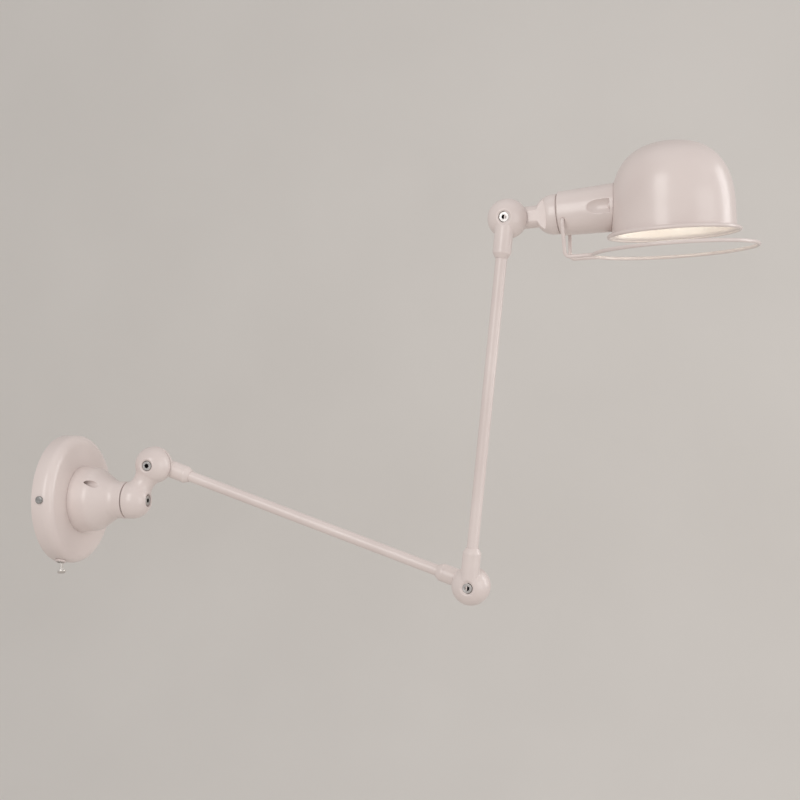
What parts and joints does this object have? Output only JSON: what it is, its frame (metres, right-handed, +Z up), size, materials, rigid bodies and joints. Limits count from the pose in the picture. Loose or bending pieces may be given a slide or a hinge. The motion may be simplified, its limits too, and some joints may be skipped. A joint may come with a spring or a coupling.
{
  "type": "wall light",
  "caption": "articulating wall light: round canopy with toggle switch, bell, tube arms on split ball joints, domed shade with rolled lip and a wire guard ring",
  "frame": {"origin": "centre of the canopy's back, on the wall plane and on the bell's axis", "axes": "+X out of the wall along the base swivel's axis, +Z up, +Y along the wall"},
  "size_m": [0.6361, 0.1499, 0.396],
  "materials": {
    "white_cast": "satin",
    "white_sheet": "satin",
    "zinc_steel": "satin",
    "nickel": "polished",
    "brass": "satin",
    "dark_nylon": "matte",
    "white_nylon": "satin",
    "porcelain": "gloss",
    "flex_sheath": "satin",
    "opal_glass": "satin"
  },
  "bodies": {
    "base": {"wall_bracket": "zinc_steel", "wall_canopy": "white_sheet", "canopy_screws": "zinc_steel", "terminal_block": "white_nylon", "bell_cone": "white_cast", "cone_screws": "zinc_steel", "cone_nuts": "zinc_steel", "switch_body": "dark_nylon", "switch_nut": "nickel", "switch_dress_nut": "white_cast", "base_flex": "flex_sheath", "base_washer": "dark_nylon"},
    "switch_lever": {"switch_lever": "nickel"},
    "base_knuckle": {"base_knuckle": "white_cast", "base_bolt": "zinc_steel", "base_spring_washer": "zinc_steel", "base_nut": "zinc_steel", "shoulder_bolt": "zinc_steel", "shoulder_washer": "dark_nylon", "shoulder_spring_washer": "zinc_steel", "shoulder_nut": "zinc_steel"},
    "lower_arm": {"shoulder_half": "white_cast", "lower_tube": "white_sheet", "lower_collars": "white_sheet", "elbow_rear_half": "white_cast", "lower_flex": "flex_sheath"},
    "upper_arm": {"elbow_front_half": "white_cast", "upper_tube": "white_sheet", "upper_collars": "white_sheet", "wrist_front_half": "white_cast", "upper_flex": "flex_sheath", "elbow_bolt": "zinc_steel", "elbow_washer": "dark_nylon", "elbow_spring_washer": "zinc_steel", "elbow_nut": "zinc_steel", "wrist_bolt": "zinc_steel", "wrist_washer": "dark_nylon", "wrist_spring_washer": "zinc_steel", "wrist_nut": "zinc_steel"},
    "head_knuckle": {"head_knuckle": "white_cast", "head_washer": "dark_nylon", "lamp_nipple": "zinc_steel", "head_spring_washer": "zinc_steel", "head_lock_nut": "zinc_steel", "lampholder": "porcelain", "lampholder_sleeve": "brass", "lampholder_contact": "brass", "bulb_cap": "nickel", "bulb_glass": "opal_glass"},
    "head": {"lamp_housing": "white_cast", "shade": "white_sheet", "shade_ring": "white_cast", "shade_screws": "zinc_steel"},
    "guard": {"wire_guard": "white_sheet"}
  },
  "joints": [
    {"name": "base_swivel", "type": "hinge", "parent": "base", "child": "base_knuckle", "pos_m": [0.0658, 0, 0], "axis": [1, 0, 0], "range_deg": [-170, 170]},
    {"name": "shoulder", "type": "hinge", "parent": "base_knuckle", "child": "lower_arm", "pos_m": [0.0882, 0.009, 0.0327], "axis": [0, -1, 0], "range_deg": [-50, 95]},
    {"name": "elbow", "type": "hinge", "parent": "lower_arm", "child": "upper_arm", "pos_m": [0.39166, 0.009, -0.06884], "axis": [0, 1, 0], "range_deg": [-45, 200]},
    {"name": "wrist", "type": "hinge", "parent": "upper_arm", "child": "head_knuckle", "pos_m": [0.42567, 0.009, 0.24935], "axis": [0, -1, 0], "range_deg": [-30, 120]},
    {"name": "head_roll", "type": "hinge", "parent": "head_knuckle", "child": "head", "pos_m": [0.46903, 0.018, 0.25276], "axis": [0.9969, 0, 0.0785], "range_deg": [-170, 170]},
    {"name": "guard_swing", "type": "hinge", "parent": "head", "child": "guard", "pos_m": [0.4746, 0.018, 0.24578], "axis": [0, 1, 0], "range_deg": [-15, 85]},
    {"name": "switch_toggle", "type": "hinge", "parent": "base", "child": "switch_lever", "pos_m": [0.008, -0.02273, -0.05227], "axis": [0, -0.9171, 0.3987], "range_deg": [-28, 0]}
  ]
}
